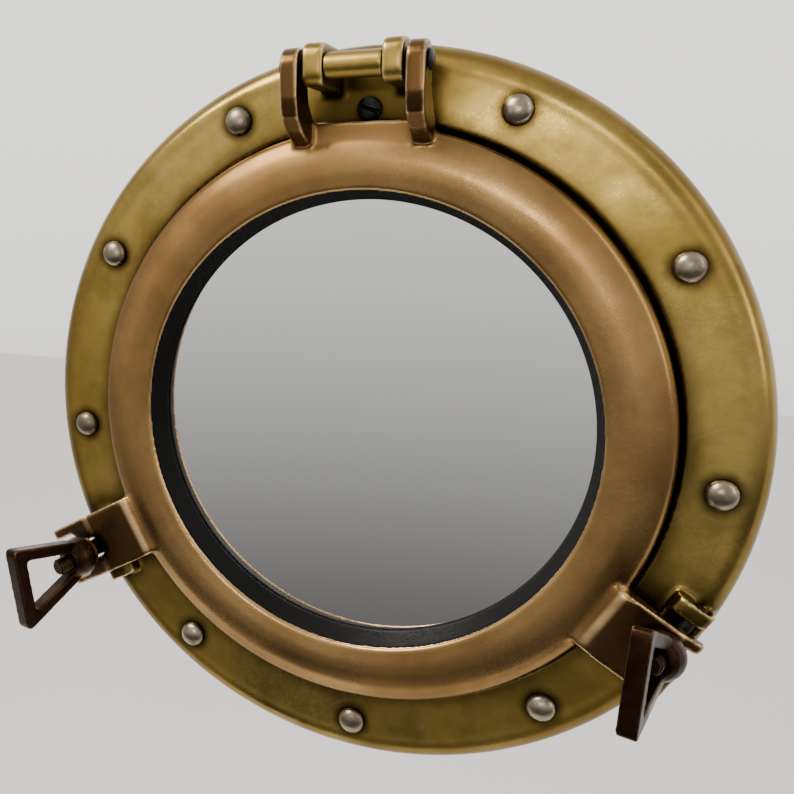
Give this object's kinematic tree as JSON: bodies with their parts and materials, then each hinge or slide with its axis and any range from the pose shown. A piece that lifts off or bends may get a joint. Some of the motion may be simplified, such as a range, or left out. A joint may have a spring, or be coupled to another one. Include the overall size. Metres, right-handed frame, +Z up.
{
  "type": "opening porthole mirror",
  "caption": "Round opening porthole mirror: a riveted flange ring, a door ring on a top hinge, and two swing bolts with wing nuts that clamp it shut.",
  "frame": {"origin": "centre of the flange's back plane, where the porthole meets the wall", "axes": "-Y out of the wall towards the viewer, +Z up towards the hinge, X level"},
  "size_m": [0.3055, 0.0732, 0.3048],
  "materials": {
    "flange_brass": "antiqued",
    "door_brass": "satin, antiqued",
    "rivet_pewter": "dark antiqued",
    "dog_bronze": "oil-rubbed",
    "blackened_steel": "blackened",
    "retainer_brass": "satin",
    "black_rubber": "matt",
    "mirror_silver": "polished",
    "backing_board": "raw board"
  },
  "bodies": {
    "flange": {"flange_ring": "flange_brass", "flange_rivet_1": "rivet_pewter", "flange_rivet_2": "rivet_pewter", "flange_rivet_3": "rivet_pewter", "flange_rivet_4": "rivet_pewter", "flange_rivet_5": "rivet_pewter", "flange_rivet_6": "rivet_pewter", "flange_rivet_7": "rivet_pewter", "flange_rivet_8": "rivet_pewter", "flange_rivet_9": "rivet_pewter", "hinge_pin": "blackened_steel", "hinge_sleeve": "flange_brass", "hinge_recess_screw": "blackened_steel", "door_seal": "black_rubber", "pivot_pin_left": "blackened_steel", "pivot_pin_right": "blackened_steel"},
    "door": {"door_ring": "door_brass", "mirror_pane": "mirror_silver", "backing_plate": "backing_board", "glazing_gasket": "black_rubber", "retaining_ring": "retainer_brass", "retaining_screw_1": "blackened_steel", "retaining_screw_2": "blackened_steel", "retaining_screw_3": "blackened_steel", "retaining_screw_4": "blackened_steel", "retaining_screw_5": "blackened_steel", "retaining_screw_6": "blackened_steel"},
    "bolt_left": {"swing_bolt_left": "dog_bronze"},
    "washer_left": {"seat_washer_left": "dog_bronze"},
    "nut_left": {"wing_nut_left": "dog_bronze"},
    "bolt_right": {"swing_bolt_right": "dog_bronze"},
    "washer_right": {"seat_washer_right": "dog_bronze"},
    "nut_right": {"wing_nut_right": "dog_bronze"}
  },
  "joints": [
    {"name": "door_hinge", "type": "hinge", "parent": "flange", "child": "door", "pos_m": [0, -0.035, 0.141], "axis": [-1, 0, 0], "range_deg": [0, 104.9]},
    {"name": "dog_swing_left", "type": "hinge", "parent": "flange", "child": "bolt_left", "pos_m": [-0.12502, -0.0168, -0.07044], "axis": [0.4909, 0, -0.8712], "range_deg": [0, 74]},
    {"name": "nut_travel_left", "type": "slide", "parent": "bolt_left", "child": "washer_left", "axis": [-0.2401, -0.9613, -0.1353], "range_m": [0, 0.00376]},
    {"name": "nut_spin_left", "type": "hinge", "parent": "washer_left", "child": "nut_left", "pos_m": [-0.12502, -0.0168, -0.07044], "axis": [-0.2401, -0.9613, -0.1353], "range_deg": [0, 1080]},
    {"name": "dog_swing_right", "type": "hinge", "parent": "flange", "child": "bolt_right", "pos_m": [0.12377, -0.0168, -0.07262], "axis": [0.506, 0, 0.8625], "range_deg": [0, 105]},
    {"name": "nut_travel_right", "type": "slide", "parent": "bolt_right", "child": "washer_right", "axis": [-0.2232, -0.9659, 0.131], "range_m": [0, 0.00376]},
    {"name": "nut_spin_right", "type": "hinge", "parent": "washer_right", "child": "nut_right", "pos_m": [0.12377, -0.0168, -0.07262], "axis": [-0.2232, -0.9659, 0.131], "range_deg": [0, 1080]}
  ],
  "couplings": [
    {"joint": "nut_travel_left", "follows": "nut_spin_left", "m_per_rad": 0.00019894},
    {"joint": "nut_travel_right", "follows": "nut_spin_right", "m_per_rad": 0.00019894}
  ]
}
